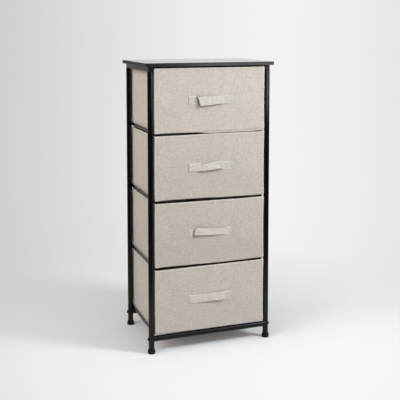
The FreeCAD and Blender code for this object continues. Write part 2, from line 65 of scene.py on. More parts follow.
# ---- plain numbers
def paint(red: int, green: int, blue: int) -> tuple[float, float, float, float]:
    """Turns a screen colour, with channels up to 255, into the linear one that a shader takes."""
    shares = [c / 255 for c in (red, green, blue)]
    return (*[s / 12.92 if s <= 0.04045 else ((s + 0.055) / 1.055) ** 2.4 for s in shares], 1.0)


def ease(share: float) -> float:
    """Goes smoothly from 0 to 1 while share goes from 0 to 1, and stays there outside it."""
    share = min(max(share, 0.0), 1.0)
    return share * share * (3 - 2 * share)


def ramp(value: float, start: float, end: float) -> float:
    """Goes smoothly from 0 at start to 1 at end, whichever of the two is larger."""
    return ease((value - start) / (end - start))


def bell(distance: float) -> float:
    """Is 1 at no distance and falls off smoothly on both sides, to about 0.02 at 2."""
    return math.exp(-distance * distance)


def arch(share: float) -> float:
    """Rises from 0 to 1 half way and back to 0, and is 0 outside the span."""
    return math.sin(math.pi * min(max(share, 0.0), 1.0))


def along(stations: Sequence[tuple[float, float]], place: float) -> float:
    """Reads a smooth curve through stations.

    Args:
        stations: Pairs of place and value, in rising order of place.
        place: Where to read the curve.

    Returns:
        The value there, which stays level beyond the ends.
    """
    if place <= stations[0][0]:
        return stations[0][1]
    for (left, low), (right, high) in zip(stations, stations[1:]):
        if place <= right:
            return low + (high - low) * ease((place - left) / (right - left))
    return stations[-1][1]


# ---- shader maths
class Signal:
    """An output of a shader node, on which plain arithmetic adds Math nodes."""

    def __init__(self, graph: "Graph", socket: bpy.types.NodeSocket) -> None:
        """Keeps the socket and the graph that it belongs to."""
        self.graph = graph
        self.socket = socket

    def other(self, name: str) -> "Signal":
        """Gives another output of the same node."""
        return Signal(self.graph, self.socket.node.outputs[name])

    def math(self, operation: str, *others: "Signal | float") -> "Signal":
        """Adds a Math node whose first value is this one."""
        return self.graph.math(operation, self, *others)

    def __add__(self, other: "Signal | float") -> "Signal":
        """Adds."""
        return self.math("ADD", other)

    def __radd__(self, other: float) -> "Signal":
        """Adds to a number."""
        return self.graph.math("ADD", other, self)

    def __sub__(self, other: "Signal | float") -> "Signal":
        """Subtracts."""
        return self.math("SUBTRACT", other)

    def __rsub__(self, other: float) -> "Signal":
        """Subtracts from a number."""
        return self.graph.math("SUBTRACT", other, self)

    def __mul__(self, other: "Signal | float") -> "Signal":
        """Multiplies."""
        return self.math("MULTIPLY", other)

    def __rmul__(self, other: float) -> "Signal":
        """Multiplies a number."""
        return self.graph.math("MULTIPLY", other, self)

    def __truediv__(self, other: "Signal | float") -> "Signal":
        """Divides."""
        return self.math("DIVIDE", other)

    def __mod__(self, other: float) -> "Signal":
        """Gives what is left over from whole multiples of other."""
        return self.math("FLOORED_MODULO", other)

    def __floordiv__(self, other: float) -> "Signal":
        """Gives how many whole times other goes in."""
        return self.math("DIVIDE", other).math("FLOOR")

    def smooth(self, low: float, high: float) -> "Signal":
        """Goes smoothly from 0 at low to 1 at high."""
        return self.graph.node("MapRange", {"interpolation_type": "SMOOTHSTEP"},
                               {"Value": self, "From Min": low, "From Max": high})


class Graph:
    """A node tree that is filled by type, settings and inputs."""

    def __init__(self, tree: bpy.types.NodeTree) -> None:
        """Empties the tree and keeps it."""
        self.tree = tree
        tree.nodes.clear()

    def node(self, kind: str, settings: dict | None = None, inputs: dict | None = None,
             output: str | int = 0) -> Signal:
        """Adds one node.

        Args:
            kind: The node's type, without its ShaderNode prefix.
            settings: Its properties, set first. "stops" are a colour ramp's places and colours.
            inputs: Its sockets by name or number, each a value or a Signal.
            output: The output to give back.

        Returns:
            The chosen output.
        """
        made = self.tree.nodes.new("ShaderNode" + kind)
        for key, value in (settings or {}).items():
            if key == "stops":
                stops = made.color_ramp.elements
                while len(stops) < len(value):
                    stops.new(0.5)
                for stop, (place, colour) in zip(stops, value):
                    stop.position, stop.color = place, colour
            else:
                setattr(made, key, value)
        for key, value in (inputs or {}).items():
            if isinstance(value, Signal):
                self.tree.links.new(value.socket, made.inputs[key])
            else:
                made.inputs[key].default_value = value
        return Signal(self, made.outputs[output] if len(made.outputs) else None)

    def on_piece(self) -> Signal:
        """Gives the place on the piece, in metres."""
        return self.node("TexCoord", output="Object")

    def math(self, operation: str, *values: "Signal | float") -> Signal:
        """Adds one Math node on the given values."""
        return self.node("Math", {"operation": operation}, dict(enumerate(values)))

    def vector(self, x: "Signal | float", y: "Signal | float", z: "Signal | float" = 0.0) -> Signal:
        """Joins three values to a vector."""
        return self.node("CombineXYZ", {}, {0: x, 1: y, 2: z})

    def stretch(self, vector: Signal, factors: tuple[float, float, float]) -> Signal:
        """Multiplies each axis of a vector by its own factor."""
        return self.node("VectorMath", {"operation": "MULTIPLY"}, {0: vector, 1: factors})

    def shade(self, colour: "Signal | tuple", share: Signal) -> Signal:
        """Multiplies a colour by a value."""
        return self.node("VectorMath", {"operation": "SCALE"}, {0: colour, "Scale": share})

    def mix(self, share: Signal, first: "Signal | tuple", second: "Signal | tuple") -> Signal:
        """Goes from the first colour to the second as share goes from 0 to 1."""
        return self.node("Mix", {"data_type": "RGBA"}, {0: share, 6: first, 7: second}, 2)

    def grain(self, vector: Signal, scale: float, detail: float = 2.0, rough: float = 0.5) -> Signal:
        """Adds a noise of the given fineness, about 0.5 on average."""
        return self.node("TexNoise", {}, {"Vector": vector, "Scale": scale, "Detail": detail,
                                          "Roughness": rough})

    def bump(self, height: Signal, strength: float, distance: float) -> Signal:
        """Turns a height into a normal. The distance is in metres."""
        return self.node("Bump", {}, {"Strength": strength, "Distance": distance, "Height": height})

    def surface(self, **sockets: "Signal | float | tuple") -> None:
        """Adds the surface shader, its sockets named with _ for a space, and joins the output."""
        named = {key.replace("_", " "): value for key, value in sockets.items()}
        self.node("OutputMaterial", {}, {"Surface": self.node("BsdfPrincipled", {}, named)})


# ---- finishes
@dataclass(frozen=True)
class Finish:
    """A finish that is mixed once and used on every piece that asks for it."""

    name: str

    def material(self) -> bpy.types.Material:
        """Mixes the finish on first use and remembers it.

        Returns:
            The material.
        """
        known = bpy.data.materials.get(self.name)
        if known:
            return known
        made = bpy.data.materials.new(self.name)
        made.use_nodes = True
        self.build(Graph(made.node_tree))
        return made

    def build(self, graph: Graph) -> None:
        """Fills the material's node tree."""
        raise NotImplementedError


@dataclass(frozen=True)
class Linen(Finish):
    """Plain-woven melange yarn. Threads follow the cloth map, whose unit is the metre.

    One factor sets how light the cloth comes out and another how much darker it is low down. A thread's
    tone changes with streaks along it, and apart keeps the tones of its neighbours unlike.
    """

    pale: tuple = paint(220, 213, 205)
    body: tuple = paint(200, 192, 183)
    dark: tuple = paint(161, 151, 140)
    # Paler colour for painted highlight with wear on folded edges and strap edges.
    wear_and_highlight: tuple = paint(229, 224, 217)
    # Dark brown for painted shade in the strap's creases and along its lower edge.
    painted_shade: tuple = paint(88, 77, 66)
    tone_scale: float = 1.0
    darker_below: float = 0.02
    thread: float = 0.00095
    wander: float = 0.0011
    apart: float = 3.7
    streaks: float = 46
    relief: float = 0.55

    def build(self, graph: Graph) -> None:
        """Weaves warp over weft, tints each thread and adds slubs and mottling, painted shade between
        threads, painted highlight with wear on folds and painted shade in creases.

        Args:
            graph: The material's node tree, to be filled.
        """
        place = graph.node("UVMap", {"uv_map": CLOTH_MAP})
        u = graph.node("SeparateXYZ", {}, {0: place})
        v = u.other("Y")
        drift = graph.grain(place, 55, 1) - 0.5
        warp_place = (u + drift * self.wander) / self.thread
        weft_place = (v - drift * self.wander) / self.thread
        warp, weft = warp_place // 1.0, weft_place // 1.0
        warp_tone = graph.grain(graph.vector(warp * self.apart, v * self.streaks), 1, 3, 0.6)
        weft_tone = graph.grain(graph.vector(u * self.streaks, weft * self.apart, 9.0), 1, 3, 0.6)
        on_top = (warp + weft) % 2.0
        tone = weft_tone + (warp_tone - weft_tone) * on_top
        crown = (warp_place * math.pi).math("SINE").math("ABSOLUTE") * (
            weft_place * math.pi).math("SINE").math("ABSOLUTE")
        slub = graph.grain(graph.stretch(place, (38, 420, 1)), 1, 2).smooth(0.6, 0.74)
        nep = graph.grain(graph.stretch(place, (420, 52, 1)), 1, 2).smooth(0.63, 0.76)
        mottle = graph.grain(place, 150, 3, 0.7)
        cloud = graph.grain(place, 14, 2)
        yarn = graph.node("ValToRGB", {"stops": [(0.26, self.dark), (0.5, self.body), (0.72, self.pale)]},
                          {0: tone - 0.09 * slub + 0.06 * nep})
        # Painted shade in the gaps between threads.
        depth = 0.8 + 0.2 * crown.math("SQRT")
        # Darker towards the bottom of the drawer.
        tone_scale = self.tone_scale * (1 - self.darker_below * (0.2 - v).smooth(0.0, 0.17))
        fold = graph.node("Attribute", {"attribute_name": FOLD_WEAR_AND_PAINTED_LIGHT}, output="Fac")
        lightness = tone_scale * depth * (0.80 + 0.36 * mottle + 0.1 * cloud)
        # Painted highlight with wear where the fold value is above 0, painted shade where it is below 0.
        colour = graph.mix(fold * 0.62, graph.shade(yarn, lightness), self.wear_and_highlight)
        colour = graph.mix(fold * -0.85, colour, self.painted_shade)
        height = crown * 0.75 + tone * 0.6 + slub * 0.35
        graph.surface(Base_Color=colour, Roughness=0.8 + 0.16 * mottle,
                      Normal=graph.bump(height, self.relief, 0.00028), Specular_IOR_Level=0.2,
                      Sheen_Weight=0.12, Sheen_Roughness=0.45, Sheen_Tint=paint(235, 229, 222))


@dataclass(frozen=True)
class NonWoven(Finish):
    """Spun-bonded cloth with rows of small pressed points and stray fibres."""

    body: tuple = paint(205, 202, 196)
    pressed: tuple = paint(188, 185, 179)
    pitch: float = 0.0022

    def build(self, graph: Graph) -> None:
        """Presses staggered points into matted fibres.

        Args:
            graph: The material's node tree, to be filled.
        """
        place = graph.node("UVMap", {"uv_map": CLOTH_MAP})
        u = graph.node("SeparateXYZ", {}, {0: place})
        v = u.other("Y")
        turn = 2 * math.pi / self.pitch
        points = ((u * turn).math("SINE") * (v * turn).math("SINE")).smooth(0.35, 0.75)
        fibres = graph.node("TexNoise", {}, {"Vector": graph.stretch(place, (420, 1100, 1)), "Scale": 1.0,
                                             "Detail": 3.0, "Distortion": 1.6})
        cloud = graph.grain(place, 26, 3, 0.6)
        colour = graph.shade(graph.mix(points * 0.8, self.body, self.pressed),
                             0.86 + 0.17 * fibres + 0.11 * cloud)
        graph.surface(Base_Color=colour, Roughness=0.82 - 0.16 * points,
                      Normal=graph.bump(fibres * 0.6 - points * 0.7, 0.5, 0.00022),
                      Specular_IOR_Level=0.25, Sheen_Weight=0.08, Sheen_Roughness=0.5)


@dataclass(frozen=True)
class PowderCoat(Finish):
    """Satin black powder on steel, with the slight orange peel that it cures to."""

    tint: tuple = paint(8, 8, 9)
    dust: tuple = paint(15, 15, 15)
    roughness: float = 0.24

    def build(self, graph: Graph) -> None:
        """Lays a fine peel over a near-black ground with faint dust.

        Args:
            graph: The material's node tree, to be filled.
        """
        place = graph.on_piece()
        peel = graph.grain(place, 620, 2, 0.55)
        speck = graph.grain(place, 2600, 1)
        haze = graph.grain(place, 16, 4, 0.6)
        colour = graph.mix((speck * haze).smooth(0.24, 0.5), self.tint, self.dust)
        graph.surface(Base_Color=colour, Roughness=self.roughness + 0.14 * (haze - 0.5),
                      Normal=graph.bump(peel + 0.25 * speck, 0.12, 0.0001), Specular_IOR_Level=0.3)


@dataclass(frozen=True)
class Laminate(Finish):
    """Black melamine with a fine pressed pore, dulled a little by handling."""

    tint: tuple = paint(27, 27, 29)
    pore: tuple = paint(17, 17, 18)
    roughness: float = 0.12
    shine: float = 0.5
    gloss: float = 0.35
    pores: tuple[float, float, float] = (210, 1500, 1500)

    def build(self, graph: Graph) -> None:
        """Presses short pores along the board and varies the gloss.

        Args:
            graph: The material's node tree, to be filled.
        """
        place = graph.on_piece()
        pores = graph.grain(graph.stretch(place, self.pores), 1, 2).smooth(0.52, 0.68)
        handling = graph.grain(place, 9, 3, 0.55)
        grit = graph.grain(place, 1900, 1)
        graph.surface(Base_Color=graph.mix(pores, self.tint, self.pore),
                      Roughness=self.roughness + 0.1 * (handling - 0.5) + 0.12 * pores,
                      Normal=graph.bump(grit * 0.3 - pores * 0.5, 0.07, 0.0001),
                      Specular_IOR_Level=self.shine, Coat_Weight=self.gloss, Coat_Roughness=0.08)


@dataclass(frozen=True)
class Moulded(Finish):
    """Moulded plastic with a spark-eroded skin."""

    tint: tuple = paint(14, 14, 15)
    streak: tuple = paint(20, 20, 21)
    roughness: float = 0.5

    def build(self, graph: Graph) -> None:
        """Lays a fine eroded texture with faint flow streaks.

        Args:
            graph: The material's node tree, to be filled.
        """
        place = graph.on_piece()
        skin = graph.grain(place, 1500, 3, 0.6)
        flow = graph.grain(graph.stretch(place, (120, 120, 36)), 1, 3)
        graph.surface(Base_Color=graph.mix(flow.smooth(0.4, 0.7), self.tint, self.streak),
                      Roughness=self.roughness + 0.16 * (skin - 0.5),
                      Normal=graph.bump(skin, 0.2, 0.0001), Specular_IOR_Level=0.2)


@dataclass(frozen=True)
class Zinc(Finish):
    """Black zinc on small steel fasteners."""

    tint: tuple = paint(36, 36, 38)
    rub: tuple = paint(66, 65, 64)

    def build(self, graph: Graph) -> None:
        """Rubs the plating a little lighter in fine patches.

        Args:
            graph: The material's node tree, to be filled.
        """
        place = graph.on_piece()
        rub = graph.grain(place, 700, 3, 0.6)
        graph.surface(Base_Color=graph.mix(rub.smooth(0.55, 0.75), self.tint, self.rub), Metallic=0.85,
                      Roughness=0.32 + 0.2 * rub, Normal=graph.bump(rub, 0.1, 0.00006))


@dataclass(frozen=True)
class Hardboard(Finish):
    """Pressed wood fibre, smooth on its face."""

    tint: tuple = paint(160, 128, 92)
    fibre: tuple = paint(118, 88, 58)

    def build(self, graph: Graph) -> None:
        """Scatters darker fibres over a warm ground.

        Args:
            graph: The material's node tree, to be filled.
        """
        place = graph.on_piece()
        fleck = graph.node("TexNoise", {}, {"Vector": graph.stretch(place, (260, 700, 700)), "Scale": 1.0,
                                            "Detail": 4.0, "Distortion": 1.2})
        cloud = graph.grain(place, 18, 3, 0.6)
        colour = graph.mix(fleck.smooth(0.45, 0.72), self.tint, self.fibre)
        graph.surface(Base_Color=graph.shade(colour, 0.86 + 0.26 * cloud), Roughness=0.55 + 0.2 * fleck,
                      Normal=graph.bump(fleck, 0.25, 0.00015), Specular_IOR_Level=0.35)


@dataclass(frozen=True)
class Thread(Finish):
    """Spun sewing thread."""

    tint: tuple = paint(208, 201, 192)
    shadow: tuple = paint(170, 161, 151)

    def build(self, graph: Graph) -> None:
        """Twists fine plies along the thread.

        Args:
            graph: The material's node tree, to be filled.
        """
        place = graph.on_piece()
        ply = graph.grain(place, 2400, 2)
        graph.surface(Base_Color=graph.mix(ply, self.shadow, self.tint), Roughness=0.7 + 0.1 * ply,
                      Normal=graph.bump(ply, 0.3, 0.0001), Sheen_Weight=0.1)


@dataclass(frozen=True)
class PaperSweep(Finish):
    """The pale paper floor, whose far parts only the camera and reflections see.

    From near to far the lit paper gives way to a background that glows for the camera and
    reflections, with painted light and shade that change over the bands from left to right.
    """

    floor: tuple = paint(232, 232, 233)
    near: float = 0.35
    far: float = 1.25
    dim_low: tuple = paint(196, 195, 193)
    dim: tuple = paint(200, 199, 198)
    lit: tuple = paint(242, 242, 242)
    falling: tuple = paint(224, 224, 224)
    bands: tuple[float, float, float] = (-1.34, 0.29, 1.18)
    unlit_end: float = 0.97
    dim_left: float = 0.9

    def build(self, graph: Graph) -> None:
        """Goes from a lit paper floor to a plain pale background that casts no light.

        Args:
            graph: The material's node tree, to be filled.
        """
        place = graph.on_piece()
        distance = graph.node("VectorMath", {"operation": "LENGTH"}, {0: place}, "Value")
        side = graph.node("VectorMath", {"operation": "DOT_PRODUCT"},
                          {0: place, 1: (0.93, -0.36, 0.0)}, "Value") / distance.math("SQRT")
        rays = graph.node("LightPath", output="Is Camera Ray")
        seen = (rays + rays.other("Is Glossy Ray") + rays.other("Is Transmission Ray")).math("MINIMUM", 1.0)
        dim = graph.mix(distance.smooth(1.0, 5.0), self.dim_low, self.dim)
        left_end, middle, right_end = self.bands
        # Painted light on the glowing background: dim to the left, lit in the middle, falling off to the
        # right.
        tone = graph.mix(side.smooth(middle, right_end),
                         graph.mix(side.smooth(left_end, middle), dim, self.lit), self.falling)
        # The studio is unlit in front of the paper and dimmer to the left, which only reflections show.
        x = graph.node("SeparateXYZ", {}, {0: place})
        unlit = (x.other("Y") * -1.0).smooth(0.3, 1.0) * (1 - x.other("Z").smooth(1.2, 2.0))
        left = (x * -1.0).smooth(0.0, 0.8) * (1 - unlit) * (1 - 0.7 * x.other("Y").smooth(-0.3, 1.2))
        strength = 1 - (self.unlit_end * unlit + self.dim_left * left) * (1 - rays)
        share = distance.smooth(self.near, self.far).math("MAXIMUM", unlit * rays.other("Is Glossy Ray"))
        paper = graph.node("BsdfDiffuse", {}, {"Color": self.floor, "Roughness": 0.4})
        backdrop = graph.node("MixShader", {}, {
            0: seen, 1: graph.node("BsdfTransparent"),
            2: graph.node("Emission", {}, {"Color": graph.shade(tone, strength)})})
        graph.node("OutputMaterial", {}, {"Surface": graph.node(
            "MixShader", {}, {0: share, 1: paper, 2: backdrop})})


POWDER_COAT = PowderCoat("powder_coat")
LAMINATE = Laminate("black_laminate")
EDGE_BAND = Laminate("edge_band", tint=paint(20, 20, 22), roughness=0.42, shine=0.38, gloss=0.0,
                     pores=(600, 600, 2400))
PLASTIC = Moulded("eroded_plastic")
NYLON = Moulded("nylon", tint=paint(214, 210, 200), streak=paint(201, 197, 187), roughness=0.45)
ZINC = Zinc("black_zinc")
LINENS = [Linen(f"linen_{number}", tone_scale=tone_scale, darker_below=darker_below)
          for number, tone_scale, darker_below in ((1, 1.02, 0.03), (2, 0.977, 0.06), (3, 0.94, 0.07), (4, 0.948, 0.02))]
STRAP_LINEN = Linen("strap_linen", pale=paint(224, 219, 210), body=paint(205, 199, 190),
                    dark=paint(172, 164, 152), wear_and_highlight=paint(230, 226, 219), thread=0.0009)
LINING = NonWoven("lining")
HARDBOARD = Hardboard("hardboard")
THREAD = Thread("sewing_thread")


# ---- shaping
def corners(node: str) -> tuple[Vector, Vector]:
    """Gives the low and high corners of a node's box, in millimetres."""
    low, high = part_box(node)
    return low / MM, high / MM


def slab(low: Sequence[float], high: Sequence[float]) -> Shape:
    """Makes a block.

    Args:
        low, high: Its two corners.

    Returns:
        The block.
    """
    shape = bmesh.new()
    bmesh.ops.create_cube(shape, size=1.0)
    low, high = Vector(low), Vector(high)
    bmesh.ops.scale(shape, vec=high - low, verts=shape.verts)
    bmesh.ops.translate(shape, vec=(low + high) / 2, verts=shape.verts)
    return shape


def round_edges(shape: Shape, edges: Iterable[Edge], radius: float, segments: int = 3) -> None:
    """Rounds the given edges."""
    bmesh.ops.bevel(shape, geom=list(edges), offset=radius, offset_type="OFFSET", segments=segments,
                    profile=0.5, affect="EDGES", material=-1, clamp_overlap=True)


def edges_along(shape: Shape, axis: int) -> list[Edge]:
    """Finds the edges that run along one axis.

    Args:
        shape: The shape to search.
        axis: The number of the axis.

    Returns:
        The edges.
    """
    others = [i for i in range(3) if i != axis]
    return [e for e in shape.edges
            if all(abs(e.verts[0].co[i] - e.verts[1].co[i]) < 1e-4 for i in others)]


def cut(shape: Shape, axis: int, places: Iterable[float]) -> None:
    """Cuts a shape with planes, so that its faces can bend there.

    Args:
        shape: The shape to cut.
        axis: The axis that the planes stand across.
        places: Where on that axis they stand.
    """
    normal = Vector([float(i == axis) for i in range(3)])
    for place in places:
        bmesh.ops.bisect_plane(shape, geom=[*shape.verts, *shape.edges, *shape.faces],
                               plane_co=normal * place, plane_no=normal, dist=1e-5)


def turned(profile: Sequence[tuple[float, float]], steps: int = 48, closed: bool = False,
           centre: Sequence[float] = (0, 0, 0)) -> Shape:
    """Turns a profile round an upright axis.

    Args:
        profile: Points of radius and height.
        steps: How many faces go round.
        closed: Whether the last point joins the first, as in a ring.
        centre: Where the axis stands.

    Returns:
        The turned shape, with its faces outwards.
    """
    shape = bmesh.new()
    points = [shape.verts.new((radius, 0.0, height)) for radius, height in profile]
    pairs = list(zip(points, points[1:])) + ([(points[-1], points[0])] if closed else [])
    lines = [shape.edges.new(pair) for pair in pairs]
    bmesh.ops.spin(shape, geom=points + lines, cent=(0, 0, 0), axis=(0, 0, 1), dvec=(0, 0, 0),
                   angle=2 * math.pi, steps=steps, use_merge=True, use_normal_flip=False,
                   use_duplicate=False)
    bmesh.ops.remove_doubles(shape, verts=shape.verts, dist=1e-4)
    bmesh.ops.recalc_face_normals(shape, faces=shape.faces)
    bmesh.ops.translate(shape, vec=centre, verts=shape.verts)
    return shape


def extrude_ring(shape: Shape, ring: Sequence[Edge]) -> tuple[list[Point], list[Edge]]:
    """Extrudes a ring of open edges.

    Args:
        shape: The shape that the ring ends.
        ring: Its open edges.

    Returns:
        The new points, which still lie on the old ones, and the new open edges.
    """
    made = bmesh.ops.extrude_edge_only(shape, edges=ring)["geom"]
    return ([g for g in made if isinstance(g, Point)],
            [g for g in made if isinstance(g, Edge) and g.is_boundary])


def stamp(target: Shape, source: Shape, places: Iterable[Matrix]) -> None:
    """Copies a shape into another.

    Args:
        target: The shape that gets the copies.
        source: The shape to copy.
        places: Where each copy goes.
    """
    carrier = bpy.data.meshes.new("carrier")
    source.to_mesh(carrier)
    for place in places:
        before = set(target.verts)
        target.from_mesh(carrier)
        bmesh.ops.transform(target, matrix=place, verts=[v for v in target.verts if v not in before])
    bpy.data.meshes.remove(carrier)


def lay_cloth_map(shape: Shape) -> None:
    """Lays a map in metres on the cloth, square to whichever way each face looks.

    Args:
        shape: The cloth, in millimetres.
    """
    layer = shape.loops.layers.uv.new(CLOTH_MAP)
    shape.normal_update()
    for face in shape.faces:
        facing = max(range(3), key=lambda axis: abs(face.normal[axis]))
        across, up = ((1, 2), (0, 2), (0, 1))[facing]
        for loop in face.loops:
            loop[layer].uv = (loop.vert.co[across] * MM, loop.vert.co[up] * MM)


@dataclass
class Piece:
    """One finished piece: its shape in millimetres and what it is to the dresser."""

    name: str
    shape: Shape
    finishes: Sequence[Finish]
    body: str
    slot: str
    nodes: Sequence[str] = ()
    crease: float = 35.0

    def hand_over(self) -> bpy.types.Object:
        """Makes the object, in metres, and ties it to its body.

        Returns:
            The new object.
        """
        bmesh.ops.scale(self.shape, vec=(MM, MM, MM), verts=self.shape.verts)
        mesh = bpy.data.meshes.new(self.name)
        self.shape.to_mesh(mesh)
        self.shape.free()
        for finish in self.finishes:
            mesh.materials.append(finish.material())
        mesh.shade_smooth()
        mesh.set_sharp_from_angle(angle=math.radians(self.crease))
        made = bpy.data.objects.new(self.name, mesh)
        bpy.context.scene.collection.objects.link(made)
        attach(made, self.body)
        if self.nodes:
            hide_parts(*self.nodes)
        LOG.info("%s: %d faces, rides on %s", self.name, len(mesh.polygons), self.body)
        return made


def thicken(made: bpy.types.Object, thickness: float, offset: float = -1.0) -> None:
    """Gives a sheet its thickness, in millimetres, inwards unless offset says otherwise."""
    wall = made.modifiers.new("cloth_thickness", "SOLIDIFY")
    wall.thickness, wall.offset, wall.use_even_offset = thickness * MM, offset, False


def refinish(name: str, finish: Finish) -> None:
    """Gives a finish to a node that keeps its shape.

    Args:
        name: The node.
        finish: What it is coated with or made of.
    """
    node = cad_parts[name]
    node.data.materials.clear()
    node.data.materials.append(finish.material())
    LOG.info("%s: keeps its shape", name)


def hold_flats(made: bpy.types.Object) -> None:
    """Keeps wide flat faces flat to the light where rounded edges run into them."""
    weigh = made.modifiers.new("flat_faces", "WEIGHTED_NORMAL")
    weigh.mode, weigh.weight, weigh.keep_sharp = "FACE_AREA", 50, True


# ---- the frame
class Recess(Enum):
    """The shape of the drive in a fastener's head."""

    HEX = "hex"
    CROSS = "cross"

    def reach(self, angle: float, size: float) -> float:
        """Measures the recess from its middle.

        Args:
            angle: The direction, in radians.
            size: The size across the recess.

        Returns:
            How far it reaches that way.
        """
        if self is Recess.HEX:
            sixth = math.pi / 3
            return size / 2 / math.cos(angle % sixth - sixth / 2)
        from_arm = abs((angle + math.pi / 4) % (math.pi / 2) - math.pi / 4)
        return size / 2 if from_arm < 0.3 else size / 4.4


@dataclass(frozen=True)
class Fastener:
    """A domed screw or bolt, head up, with the head's seat at height 0."""

    head: float
    height: float
    shank: float
    length: float
    recess: Recess
    drive: float
    depth: float

    def shape(self) -> Shape:
        """Turns the fastener and sinks its recess.

        Returns:
            The shape, about the Z axis.
        """
        rim, half, stem = self.drive * 0.62, self.head / 2, self.shank / 2
        dome = [(rim + (half - rim) * share, self.height * (1 - 0.62 * share ** 2.6))
                for share in (0, 0.2, 0.4, 0.6, 0.78, 0.92, 1)]
        below = [(half, 0.25), (half - 0.25, 0), (stem, 0), (stem, 0.6 - self.length),
                 (stem - 0.6, -self.length), (0, -self.length)]
        shape = turned(dome + below, 24)
        ring = [e for e in shape.edges if e.is_boundary]
        for share, sink in ((1.0, 0.0), (0.97, self.depth * 0.9), (0.86, self.depth)):
            points, ring = extrude_ring(shape, ring)
            for vert in points:
                angle = math.atan2(vert.co.y, vert.co.x)
                reach = self.recess.reach(angle, self.drive) * share
                vert.co = (reach * math.cos(angle), reach * math.sin(angle), self.height - sink)
        bmesh.ops.contextual_create(shape, geom=ring)
        bmesh.ops.recalc_face_normals(shape, faces=shape.faces)
        return shape


